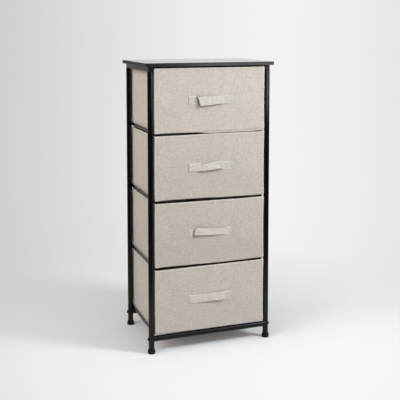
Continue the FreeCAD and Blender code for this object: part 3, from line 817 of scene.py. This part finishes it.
@dataclass
class SteelFrame:
    """The posts, rails, runners and fasteners that stand on the four feet."""

    post_radius: float = 9.5
    wall: float = 1.2
    broken_edge: float = 0.25
    foot_radius: float = 12.5
    foot_height: float = 17.0
    foot_floor: float = 4.0
    flare_from: float = 9.8
    flare_length: float = 2.4
    collar_radius: float = 10.3
    socket_radius: float = 9.65
    rail_corner: float = 1.8
    plug_cap: float = 1.2
    plug_half: float = 6.5
    plug_wall: float = 1.4
    plug_length: float = 13.2
    plug_hollow: float = 11.0
    turns: int = 48
    body: str = "frame"

    def _steel(self, node: str, shape: Shape) -> bpy.types.Object:
        """Hands over a coated steel piece in place of a node."""
        return Piece(f"steel_{node}", shape, [POWDER_COAT], self.body, "frame_coat", [node]).hand_over()

    def _uprights(self, kind: str) -> Iterator[tuple[str, Vector, Vector]]:
        """Goes round the four corners of the frame.

        Args:
            kind: What stands there, as the nodes are named.

        Yields:
            Each node's name and the low and high corners of its box.
        """
        for end in ("front", "rear"):
            for hand in ("left", "right"):
                node = f"{kind}_{end}_{hand}"
                yield node, *corners(node)

    def posts(self) -> None:
        """Stands the four posts, tubes with broken end edges."""
        outer, inner, broken = self.post_radius, self.post_radius - self.wall, self.broken_edge
        for node, low, high in self._uprights("post"):
            ring = [(outer, low.z + broken), (outer, high.z - broken), (outer - broken, high.z),
                    (inner, high.z), (inner, low.z), (outer - broken, low.z)]
            middle = (low + high) / 2
            self._steel(node, turned(ring, self.turns, closed=True, centre=(middle.x, middle.y, 0)))

    def feet(self) -> None:
        """Turns the flared feet, each with a socket for its post."""
        radius, collar, socket = self.foot_radius, self.collar_radius, self.socket_radius
        base = [(0, 0), (9.6, 0), (10.9, 0.25), (11.8, 0.9), (12.35, 1.9), (radius, 3.2), (radius, 9.2)]
        flare = [(radius - (radius - collar) * ease(step / 6) ** 0.75,
                  self.flare_from + self.flare_length * step / 6) for step in range(7)]
        cup = [(collar, self.foot_height - 0.5), (collar - 0.3, self.foot_height),
               (socket, self.foot_height), (socket, self.foot_floor), (0, self.foot_floor)]
        for node, low, high in self._uprights("foot"):
            shape = turned(base + flare + cup, self.turns,
                           centre=((low.x + high.x) / 2, (low.y + high.y) / 2, 0))
            Piece(f"moulded_{node}", shape, [PLASTIC], self.body, "black_plastic", [node],
                  crease=50).hand_over()

    def top_rails(self) -> None:
        """Folds the two square rails that carry the board."""
        for hand in ("left", "right"):
            node = f"top_rail_{hand}"
            shape = slab(*corners(node))
            ends = [f for f in shape.faces if abs(f.normal.y) > 0.9]
            bmesh.ops.delete(shape, geom=ends, context="FACES")
            round_edges(shape, edges_along(shape, 1), self.rail_corner, 4)
            made = self._steel(node, shape)
            thicken(made, self.wall)
            hold_flats(made)

    def plugs(self) -> None:
        """Closes the ends of the square rails."""
        low, high = corners("rail_plugs")
        half, cap, stem_half = (high.z - low.z) / 2, self.plug_cap, self.plug_half
        plug = slab((-half, 0, -half), (half, cap, half))
        round_edges(plug, edges_along(plug, 1), self.rail_corner, 4)
        face = next(f for f in plug.faces if f.normal.y < -0.9)
        round_edges(plug, face.edges, 0.5, 2)
        stem = slab((-stem_half, cap, -stem_half), (stem_half, self.plug_length, stem_half))
        inside = [f for f in stem.faces if f.normal.y > 0.9]
        bmesh.ops.inset_region(stem, faces=inside, thickness=self.plug_wall, depth=0)
        bmesh.ops.translate(stem, vec=(0, -self.plug_hollow, 0),
                            verts=list({v for f in inside for v in f.verts}))
        stamp(plug, stem, [Matrix()])
        stem.free()
        ends = [Matrix.Translation((x, y, low.z + half)) @ Matrix.Rotation(turn, 4, "Z")
                for x in (low.x + half, high.x - half) for y, turn in ((low.y, 0), (high.y, math.pi))]
        shape = bmesh.new()
        stamp(shape, plug, ends)
        plug.free()
        made = Piece("end_plugs", shape, [PLASTIC], self.body, "black_plastic", ["rail_plugs"]).hand_over()
        hold_flats(made)

    def fasteners(self) -> None:
        """Drives the rail bolts and the board screws."""
        low, high = corners("rail_bolts")
        bolt = Fastener(head=11, height=3.4, shank=6, length=16, recess=Recess.HEX, drive=4, depth=1.8)
        seat, half = high.x - bolt.height, bolt.head / 2
        sides = [Matrix.Translation((x, y, (low.z + high.z) / 2)) @ Matrix.Rotation(turn, 4, "Y")
                 for x, turn in ((-seat, -math.pi / 2), (seat, math.pi / 2))
                 for y in (low.y + half, high.y - half)]
        self._drive("socket_bolts", bolt, sides, "rail_bolts")
        low, high = corners("board_screws")
        screw = Fastener(head=10, height=2.6, shank=4, length=high.z - low.z - 2.6, recess=Recess.CROSS,
                         drive=4.4, depth=1.5)
        half = screw.head / 2
        under = [Matrix.Translation((x, y, low.z + screw.height)) @ Matrix.Rotation(math.pi, 4, "X")
                 for x in (low.x + half, high.x - half) for y in (low.y + half, high.y - half)]
        self._drive("pan_screws", screw, under, "board_screws")

    def _drive(self, name: str, fastener: Fastener, places: Sequence[Matrix], node: str) -> None:
        """Sets one kind of fastener in all its places as one piece.

        Args:
            name: What the piece is called.
            fastener: The fastener.
            places: Where each one goes, head outwards.
            node: The node that they replace.
        """
        single, shape = fastener.shape(), bmesh.new()
        stamp(shape, single, places)
        single.free()
        Piece(name, shape, [ZINC], self.body, "black_fastener", [node], crease=42).hand_over()

    def coat_rails(self) -> None:
        """Coats the rails and runners, whose shapes come ready made, and the hidden inserts."""
        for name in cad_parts:
            if name.startswith(("cross_rail", "runner")):
                refinish(name, POWDER_COAT)
        refinish("rail_inserts", NYLON)

    def build(self) -> None:
        """Builds the whole frame."""
        self.posts()
        self.feet()
        self.top_rails()
        self.plugs()
        self.fasteners()
        self.coat_rails()


@dataclass
class TopBoard:
    """The laminated board with a band round its edge."""

    edge_round: float = 0.8
    body: str = "frame"

    def build(self) -> None:
        """Rounds the board's edges and bands its sides."""
        shape = slab(*corners("top_board"))
        round_edges(shape, shape.edges, self.edge_round, 3)
        for face in shape.faces:
            face.material_index = int(abs(face.normal.z) < 0.35)
        made = Piece("banded_board", shape, [LAMINATE, EDGE_BAND], self.body, "board_laminate",
                     ["top_board"]).hand_over()
        hold_flats(made)


# ---- the drawers
@dataclass(frozen=True)
class DrawerBox:
    """The sizes that all four drawers share, with heights from a drawer's own underside.

    The cloth is folded over the rim and down to the hem sizes inside. Each line of that fold has
    its share of the way in and its height.
    """

    side: float = 194.0
    front: float = -144.0
    back: float = 142.3
    height: float = 214.0
    front_round: float = 3.0
    rear_round: float = 5.0
    base_round: float = 2.5
    hem: float = 204.0
    seam: float = 186.5
    hem_side: float = 190.1
    hem_front: float = -137.8
    hem_back: float = 138.4
    rim_fold: tuple[tuple[float, float], ...] = (
        (0.06, 213.5), (0.22, 213.9), (0.5, 214.0), (0.78, 213.9), (0.94, 213.5), (1.0, 212.6),
        (1.0, 206), (1.0, 198), (1.0, 190))
    lining_low: tuple[float, float, float] = (-192.3, -139.9, 1.6)
    lining_high: tuple[float, float, float] = (192.3, 140.7, 212.4)
    lining_rounds: tuple[float, float, float] = (2.0, 3.5, 2.0)
    panel_low: tuple[float, float, float] = (-189.5, -142.5, 1.8)
    panel_high: tuple[float, float, float] = (189.5, -140.1, 212.0)
    strap_height: float = 106.0
    strap_width: float = 27.4
    strap_flat: tuple[float, float] = (0.16, 0.0275)


BOX = DrawerBox()
FOLD_LINES = [i * 9.5 for i in range(-19, 20)]


@dataclass(frozen=True)
class Slack:
    """How one drawer's sewn cloth departs from its neat box.

    The top and the bottom say how far the front's edges rise, at places along the front. The roll
    says between which places the lower edge turns under, and roll_drop by how far it hangs there.
    """

    seed: float
    top: tuple[tuple[float, float], ...]
    bottom: tuple[tuple[float, float], ...]
    roll: tuple[float, float] | None = None
    roll_drop: float = 4.6

    def settle(self, point: Vector) -> Vector:
        """Moves a point of the neat box to where the cloth hangs.

        Args:
            point: A point from the drawer's own underside, in millimetres.

        Returns:
            The point on the settled cloth.
        """
        x, y, z = point
        moved = point.copy()
        moved.z += self._rim(x, y) * ramp(z, 140, 210) + self._foot(x, y, z)
        moved += self._walls(x, y, z)
        if self.roll:
            start, end = self.roll
            share = ramp(x, start, start + 50) * ramp(x, end, end - 7) * ramp(y, -138, -143)
            share *= 1 - 0.28 * ramp(x, 140, 175)
            moved.z -= share * self.roll_drop * ramp(z, 4.9, 0.3)
            moved.y += share * (2.6 * ramp(z, 4.3, 3.4) - 1.4 * bell((z - 0.2) / 1.2))
        return moved

    def _rim(self, x: float, y: float) -> float:
        """Shapes the rim, with a soft dip in each side and a raised corner behind the front.

        Args:
            x, y: A place on the neat rim.

        Returns:
            How far the rim rises there.
        """
        front = ramp(y, -90, -140)
        dip = -1.7 * bell((y - 86) / 32) - 0.5 * bell((y + 18) / 44)
        corner = 3.6 * ramp(x, 184, 190) * ramp(y, -141, -136) * ramp(y, -98, -114)
        return along(self.top, x) * front + dip * (1 - front) + corner

    def _foot(self, x: float, y: float, z: float) -> float:
        """Shapes the lower edge of the front and the belly of the underside.

        Args:
            x, y, z: A place on the neat box.

        Returns:
            How far it rises there, or sags.
        """
        rise = along(self.bottom, x)
        reach = 6.0 + (54.0 * ramp(abs(x), 180, 172) if rise < 0 else 0.0)
        belly = -0.8 * bell(x / 120) * bell(y / 90) * ramp(z, 9, 1)
        return rise * ramp(y, BOX.front + reach, BOX.front) * ramp(z, 44, 4) + belly

    def _walls(self, x: float, y: float, z: float) -> Vector:
        """Bows and ripples the soft walls.

        Args:
            x, y, z: A place on the neat box.

        Returns:
            How far it moves there.
        """
        upright = arch(z / BOX.height) ** 0.8
        side = ramp(abs(x), 150, 190)
        depth = arch((y - BOX.front) / (BOX.back - BOX.front))
        ripple = noise.noise((y / 46, z / 64, self.seed + (5 if x > 0 else 0)))
        out = side * upright * (1.3 * depth + 0.9 * depth * ripple)
        edge = side * bell((y - BOX.front) / 26) * upright * (1.0 if x < 0 else -1.3)
        edge += side * bell((BOX.back - 4 - y) / 16) * (0.5 + 1.3 * upright)
        back = ramp(y, BOX.back - 31, BOX.back - 1) * upright * arch((x + BOX.side) / (2 * BOX.side))
        push = back * (1.1 + 1.1 * noise.noise((x / 58, z / 60, self.seed + 11)))
        front = ramp(y, -118, -140) * upright * 0.4 * noise.noise((x / 95, z / 80, self.seed + 23))
        return Vector(((out + edge) * math.copysign(1, x), push + front, 0))


@dataclass(frozen=True)
class StrapPose:
    """How a strap handle stands off the front.

    Each edge is a row of stations of place along the front, distance off it, and lift. The shift
    says how far off centre it is sewn, and the crease how dark the painted shade on its steep end is.
    """

    top: tuple[tuple[float, float, float], ...]
    bottom: tuple[tuple[float, float, float], ...]
    shift: float = 0.0
    crease: float = 1.0

    @staticmethod
    def read(edge: Sequence[tuple[float, float, float]], share: float) -> Vector:
        """Reads an edge at a share of the way along the strap.

        Args:
            edge: The edge's stations.
            share: From 0 at the left end to 1 at the right.

        Returns:
            The place, the distance off the front and the lift.
        """
        place = share * (len(edge) - 1)
        index = min(int(place), len(edge) - 2)
        near = [Vector(edge[min(max(index + k, 0), len(edge) - 1)]) for k in (-1, 0, 1, 2)]
        t, tension = place - index, 0.36
        slope_in, slope_out = (near[2] - near[0]) * tension, (near[3] - near[1]) * tension
        curve = ((2 * t**3 - 3 * t**2 + 1) * near[1] + (t**3 - 2 * t**2 + t) * slope_in
                 + (3 * t**2 - 2 * t**3) * near[2] + (t**3 - t**2) * slope_out)
        curve.y = max(curve.y, 0.0)
        return curve

    def at(self, share: float, rise: float) -> Vector:
        """Reads the strap at a share of its length and a share of its height."""
        point = self.read(self.bottom, share).lerp(self.read(self.top, share), rise)
        return point + Vector((self.shift, 0, 0))


@dataclass
class Drawer:
    """One drawer: sewn cover, lining, stiff panels, strap and stitching."""

    number: int
    slack: Slack
    strap: StrapPose
    cover_wall: float = 1.2
    lining_wall: float = 0.8
    strap_wall: float = 1.1
    stitch_pitch: float = 4
    stitch_half: float = 1.45
    thread_radius: float = 0.27
    base: float = field(init=False)
    name: str = field(init=False)

    def __post_init__(self) -> None:
        """Reads where the drawer stands."""
        self.name = f"drawer_{self.number}"
        self.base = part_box(f"{self.name}_cover")[0].z / MM

    def _shell(self, low: Sequence[float], high: Sequence[float],
               rounds: tuple[float, float, float]) -> Shape:
        """Makes an open-topped sewn box, cut finely enough to bend.

        Args:
            low, high: Its corners, from the drawer's underside.
            rounds: The radii of the front corners, rear corners and lower edges.

        Returns:
            The shell, one face thick, its faces outwards.
        """
        shape = slab(low, high)
        bmesh.ops.delete(shape, geom=[f for f in shape.faces if f.normal.z > 0.9], context="FACES")
        upright = edges_along(shape, 2)
        round_edges(shape, [e for e in upright if e.verts[0].co.y < 0], rounds[0], 3)
        upright = [e for e in edges_along(shape, 2) if e.verts[0].co.y > high[1] - 1e-3
                   and abs(e.verts[0].co.x) > high[0] - 1e-3]
        round_edges(shape, upright, rounds[1], 5)
        foot = [e for e in shape.edges if all(abs(v.co.z - low[2]) < 1e-4 for v in e.verts)]
        round_edges(shape, foot, rounds[2], 3)
        cut(shape, 0, FOLD_LINES)
        cut(shape, 1, [-134 + i * 9.6 for i in range(29)])
        cut(shape, 2, [low[2] + step for step in (3.4, 4.2, 4.9, 5.8, 7.5, 10, 14, 20, 28)])
        cut(shape, 2, [38 + i * 10.5 for i in range(16)])
        return shape

    def _place(self, shape: Shape) -> None:
        """Settles every point and lifts the shape to the drawer's own height."""
        for vert in shape.verts:
            vert.co = self.slack.settle(vert.co) + Vector((0, 0, self.base))

    def _fold_rim(self, shape: Shape) -> None:
        """Folds the cloth over the rim and down inside.

        Args:
            shape: The cover, open at its top.
        """
        ring = [e for e in shape.edges if e.is_boundary]
        narrow = BOX.hem_side / BOX.side
        shorten = (BOX.hem_back - BOX.hem_front) / (BOX.back - BOX.front)
        shift = BOX.hem_front - BOX.front * shorten
        before = 0.0
        for share, height in BOX.rim_fold:
            points, ring = extrude_ring(shape, ring)
            for vert in points:
                x = vert.co.x / (1 + before * (narrow - 1))
                y = (vert.co.y - before * shift) / (1 + before * (shorten - 1))
                vert.co = (x * (1 + share * (narrow - 1)), y * (1 + share * (shorten - 1)) + share * shift,
                           height)
            before = share

    def _press_seams(self, shape: Shape) -> None:
        """Presses the hem line and the front's side seams, and marks folds for painted highlight with wear.

        Args:
            shape: The cover, still a neat box.
        """
        fold = shape.verts.layers.float.new(FOLD_WEAR_AND_PAINTED_LIGHT)
        shape.normal_update()
        for vert in shape.verts:
            x, y, z = vert.co
            facing = vert.normal
            crown = bell((z - BOX.height) / 1.3) if z > BOX.height - 3 else 0.0
            corner = bell((abs(x) - 192.6) / 1.6) if y < BOX.front + 3.2 else 0.0
            # Paler along the rim's crown and the front's corners: painted highlight with wear.
            vert[fold] = min(crown + 0.75 * corner, 1.0)
            inside = facing.y > 0.5 and y < 0 or facing.y < -0.5 and y > 0 or facing.x * x < -50
            if inside or abs(facing.z) > 0.4:
                continue
            press = -0.5 * bell((z - BOX.hem) / 0.9) + (0.25 if z > BOX.hem else 0.0)
            if facing.y < -0.9:
                press -= 0.4 * bell((abs(x) - BOX.seam) / 0.7)
            vert.co += facing * press

    def cover(self) -> None:
        """Sews the outer cover."""
        rounds = (BOX.front_round, BOX.rear_round, BOX.base_round)
        shape = self._shell((-BOX.side, BOX.front, 0), (BOX.side, BOX.back, BOX.height - 1.2), rounds)
        cut(shape, 2, [BOX.hem + step for step in (-3, -1.6, -0.8, 0, 0.8, 1.6, 4, 6.6)])
        cut(shape, 0, [hand * (BOX.seam + step) for hand in (-1, 1) for step in (-1.9, -0.7, 0, 0.7, 1.9)])
        self._fold_rim(shape)
        lay_cloth_map(shape)
        self._press_seams(shape)
        self._place(shape)
        made = Piece(f"{self.name}_linen_cover", shape, [LINENS[self.number - 1]], self.name, "linen_cover",
                     [f"{self.name}_cover"], crease=60).hand_over()
        thicken(made, self.cover_wall)

    def lining(self) -> None:
        """Sews the inner lining."""
        shape = self._shell(BOX.lining_low, BOX.lining_high, BOX.lining_rounds)
        lay_cloth_map(shape)
        self._place(shape)
        made = Piece(f"{self.name}_inner_lining", shape, [LINING], self.name, "lining_cloth",
                     [f"{self.name}_lining"], crease=60).hand_over()
        thicken(made, self.lining_wall)

    def panels(self) -> None:
        """Cuts the panel that stiffens the front, and finishes the loose base panel."""
        shape = slab(BOX.panel_low, BOX.panel_high)
        round_edges(shape, shape.edges, 0.3, 1)
        cut(shape, 0, FOLD_LINES)
        cut(shape, 2, [5, 8, 12, 18, 26, 38, 60, 90, 120, 150, 170, 190, 200])
        self._place(shape)
        Piece(f"{self.name}_stiffener", shape, [HARDBOARD], self.name, "stiff_board",
              [f"{self.name}_front_board"]).hand_over()
        refinish(f"{self.name}_base_board", HARDBOARD)

    def handle(self) -> None:
        """Lays the strap from tab to tab."""
        shape = bmesh.new()
        bmesh.ops.create_grid(shape, x_segments=110, y_segments=12, size=0.5)
        uv = shape.loops.layers.uv.new(CLOTH_MAP)
        fold = shape.verts.layers.float.new(FOLD_WEAR_AND_PAINTED_LIGHT)
        long, wide = BOX.strap_flat
        for face in shape.faces:
            for loop in face.loops:
                loop[uv].uv = (loop.vert.co.x * long, loop.vert.co.y * wide)
        for vert in shape.verts:
            share, rise = vert.co.x + 0.5, 0.5 + 0.5 * math.sin(math.pi * vert.co.y)
            point = self.strap.at(share, rise)
            after = self.strap.at(min(share + 0.01, 1.0), rise)
            steep = ease((after.y - point.y) / max(after.x - point.x, 0.1) - 0.25) * ease(point.y / 2)
            # Painted shadow along the strap's lower edge, darker where the strap stands off the front.
            under = bell(rise / 0.055) * (0.42 + 0.8 * ramp(point.y, 0.5, 4.5))
            # Painted shade in the steep end's crease, along the lower edge and at the left end.
            painted_shade = max(self.strap.crease * steep, under, 0.65 * bell(share / 0.007))
            # Painted highlight with wear along the strap's top and bottom edges.
            wear_and_highlight = 0.7 * max(bell((rise - 1) / 0.09), bell(rise / 0.09))
            vert[fold] = wear_and_highlight * (1 - painted_shade) - painted_shade
            height = BOX.strap_height + point.z + (rise - 0.5) * BOX.strap_width
            vert.co = (point.x, BOX.front - 0.1 - point.y, height)
        self._place(shape)
        bmesh.ops.recalc_face_normals(shape, faces=shape.faces)
        if sum(f.normal.y for f in shape.faces) > 0:
            bmesh.ops.reverse_faces(shape, faces=shape.faces)
        made = Piece(f"{self.name}_strap", shape, [STRAP_LINEN], self.name, "linen_strap",
                     [f"{self.name}_handle"], crease=80).hand_over()
        thicken(made, self.strap_wall, offset=1.0)

    def stitching(self) -> None:
        """Sews the hem all round and the strap's tabs."""
        stitch = bmesh.new()
        bmesh.ops.create_icosphere(stitch, subdivisions=1, radius=1.0)
        long, thin, sunk = self.stitch_half, self.thread_radius, 0.12
        places: list[tuple[Vector, Vector]] = []
        for k in range(93):
            x = -184 + self.stitch_pitch * k
            places += [(Vector((x, BOX.front + sunk, BOX.hem)), Vector((long, thin, thin)))]
            if abs(x) < 182:
                places += [(Vector((x, BOX.back - sunk, BOX.hem)), Vector((long, thin, thin)))]
        for k in range(68):
            places += [(Vector((hand * (BOX.side - sunk), -136 + self.stitch_pitch * k, BOX.hem)),
                        Vector((thin, long, thin))) for hand in (-1, 1)]
        tabs = [(Vector((hand * x + self.strap.shift, BOX.front - 1.6, BOX.strap_height + z)),
                 Vector((thin, thin, 1.3)))
                for hand in (-1, 1) for x in (60, 70) for z in (-10, -6, -2, 2, 6, 10)]
        shape = bmesh.new()
        lift = Vector((0, 0, self.base))
        stamp(shape, stitch, [Matrix.Translation(self.slack.settle(at) + lift) @ Matrix.Diagonal((*size, 1))
                              for at, size in places + tabs])
        stitch.free()
        Piece(f"{self.name}_stitching", shape, [THREAD], self.name, "linen_cover", crease=180).hand_over()

    def build(self) -> None:
        """Builds the whole drawer."""
        self.panels()
        self.cover()
        self.lining()
        self.handle()
        self.stitching()


DRAWERS = (
    (Slack(1.3, ((-190, -0.8), (190, -0.8)),
           ((-190, -0.2), (-170, 1.2), (-130, 1.2), (-87, 0.4), (-46, 0), (190, 0)), roll=(-52, 202)),
     StrapPose(((-75, 0, 0), (-62, 0, 0), (-48, 0.3, 0), (-44.6, 8, -2.3), (-43, 8.3, -2.5),
                (-28, 7.3, -2.2), (0, 5, -1.5), (30, 2.5, -0.3), (53, 0.5, 0), (75, 0, 0)),
               ((-75, 0, 0), (-62, 0, 0), (-47, 0.4, -0.8), (-36, 10, -5.4), (-34, 10.3, -5.6),
                (-24, 9, -5), (2, 6.8, -3.5), (30, 4, -1.5), (53, 0.8, 0), (75, 0, 0)), shift=-3.5)),
    (Slack(4.1, ((-190, 0.4), (-90, 0.4), (-20, 1.4), (180, 1), (189, 2.8)),
           ((-190, 1.4), (-150, 4.2), (-30, 2.2), (40, -1.0), (172, -2.4), (190, -1.4))),
     StrapPose(((-75, 0, 0), (-55, 0, 0), (-34, 0.3, 0), (-25, 6, -4), (0, 5.5, -0.5), (23.8, 4.5, 3),
                (27.5, 0.4, 1.5), (40, 0, 0), (56, 0, 0), (75, 0, 0)),
               ((-75, 0, 0), (-52, 0.3, 0), (-36, 4.5, 0.3), (-20, 8, 1), (5, 8.5, 3), (36, 9, 5.6),
                (39, 0.7, 3), (46, 0, 0), (58, 0, 0), (75, 0, 0)), shift=-4.0, crease=0.15)),
    (Slack(7.9, ((-190, 0), (0, -1.4), (125, -2.5), (172, -1.6)),
           ((-191, 1.3), (-160, 3.0), (-130, 2.9), (-60, 1.2), (-24, -0.2), (41, -0.9), (129, 0),
            (174, 0.9))),
     StrapPose(((-75, 0, 0), (-66, 0, 0), (-57, 0.2, 0), (-50.3, 6, 5.5), (-20, 4.5, 2), (15, 2.5, -1.5),
                (45, 1, -3.2), (54, 0, -0.8), (64, 0, 0), (75, 0, 0)),
               ((-75, 0, 0), (-69, 0, 0), (-62, 0.4, 2), (-57, 8, 9), (-22, 6, 6), (14, 3.5, 3.5),
                (45, 1, 2.5), (54, 0, 0.8), (64, 0, 0), (75, 0, 0)), shift=-2.0)),
    (Slack(12.7, ((-190, -0.3), (0, 0.2), (190, 0.6)),
           ((-190, 0.8), (-150, 0), (-60, -1.6), (0, -2.1), (150, -2.3), (190, -0.4))),
     StrapPose(((-75, 0, 0), (-55, 0.6, 0), (-30, 1.2, 0), (0, 1.8, 0), (20, 2.6, 0), (45, 3.6, 0),
                (51, 0.4, 0), (62, 0, 0), (75, 0, 0)),
               ((-75, 0, 0), (-55, 0.8, 0), (-30, 2.2, 0), (0, 4.2, 0), (20, 5.8, 0), (43, 7.2, 0),
                (50, 0.6, 0), (62, 0, 0), (75, 0, 0)), shift=-2.5)),
)


# ---- the studio
@dataclass(frozen=True)
class Lamp:
    """A soft rectangular lamp: where it hangs, what it faces, its size, watts and colour."""

    name: str
    at: tuple[float, float, float]
    faces: tuple[float, float, float]
    size: tuple[float, float]
    power: float
    colour: tuple[float, float, float]
    mirrored: bool = True
    lights: bool = True

    def hang(self) -> None:
        """Adds the lamp to the scene."""
        data = bpy.data.lights.new(self.name, "AREA")
        data.shape, (data.size, data.size_y) = "RECTANGLE", self.size
        data.energy, data.color = self.power, self.colour
        made = bpy.data.objects.new(self.name, data)
        made.location = self.at
        made.rotation_euler = (Vector(self.faces) - Vector(self.at)).to_track_quat("-Z", "Y").to_euler()
        made.visible_camera, made.visible_diffuse, made.visible_glossy = False, self.lights, self.mirrored
        bpy.context.scene.collection.objects.link(made)


@dataclass
class Studio:
    """The paper sweep, the lights and the camera."""

    lens: float = 69.886
    shift_up: float = -0.2725
    camera_at: tuple[float, float, float] = (-0.9014, -2.5320, 1.0738)
    tilt_down: float = 4.668
    turn_right: float = 19.858
    sky: float = 0.6
    sky_front: float = 0.28
    sky_left: float = 0.12
    paper_flat: float = 3.6
    paper_curve: float = 2.0
    paper_top: float = 7.0

    def sweep(self) -> None:
        """Turns the paper floor up into a pale wall all round."""
        flat, curve = self.paper_flat, self.paper_curve
        turns = [math.radians(degrees) for degrees in range(0, 91, 9)]
        rise = [(flat + curve * math.sin(turn), curve - curve * math.cos(turn)) for turn in turns]
        shape = turned([(0, 0), (1.5, 0), (2.6, 0), *rise, (flat + curve, self.paper_top)], 96)
        mesh = bpy.data.meshes.new("paper_sweep")
        shape.to_mesh(mesh)
        shape.free()
        mesh.materials.append(PaperSweep("paper").material())
        mesh.shade_smooth()
        made = bpy.data.objects.new("paper_sweep", mesh)
        bpy.context.scene.collection.objects.link(made)

    def lights(self) -> None:
        """Hangs the lamps and fills the sky."""
        lamps = (Lamp("key", (1.4, -1.25, 1.76), (0, -0.1, 0.5), (0.5, 0.6), 31.5, (0.87, 0.945, 1.0)),
                 Lamp("card", (0.375, -0.45, 0.895), (0.375, 0, 0.895), (0.75, 0.27), 2.1, (0.95, 0.98, 1.0),
                      lights=False),
                 Lamp("fill", (-2.3, -0.6, 2.0), (-0.1, 0, 0.2), (2.0, 1.8), 32.0, (1.0, 0.97, 0.94),
                      mirrored=False))
        for lamp in lamps:
            lamp.hang()
        world = bpy.data.worlds.new("studio")
        world.use_nodes = True
        graph = Graph(world.node_tree)
        x = graph.node("SeparateXYZ", {}, {0: graph.node("TexCoord", output="Generated")})
        lean = 1 - self.sky_front * x.other("Y") - self.sky_left * x
        graph.node("OutputWorld", {}, {"Surface": graph.node(
            "Background", {}, {"Color": graph.shade(paint(253, 250, 247)[:3], self.sky * lean)})})
        bpy.context.scene.world = world

    def camera(self) -> None:
        """Sets up the camera."""
        data = bpy.data.cameras.new("camera")
        data.lens, data.sensor_width, data.shift_y = self.lens, 36.0, self.shift_up
        made = bpy.data.objects.new("camera", data)
        made.location = self.camera_at
        made.rotation_euler = (math.radians(90 - self.tilt_down), 0, -math.radians(self.turn_right))
        bpy.context.scene.collection.objects.link(made)
        bpy.context.scene.camera = made

    def build(self) -> None:
        """Builds the studio."""
        bpy.context.scene.view_settings.view_transform = "Standard"
        self.camera()
        self.sweep()
        self.lights()


def main() -> None:
    """Builds the dresser and its studio."""
    logging.basicConfig(level=logging.INFO, format="%(name)s: %(message)s")
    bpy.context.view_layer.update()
    Studio().build()
    SteelFrame().build()
    TopBoard().build()
    for number, (slack, strap) in enumerate(DRAWERS, start=1):
        Drawer(number, slack, strap).build()
    bpy.context.view_layer.update()


if __name__ == "__main__":
    main()
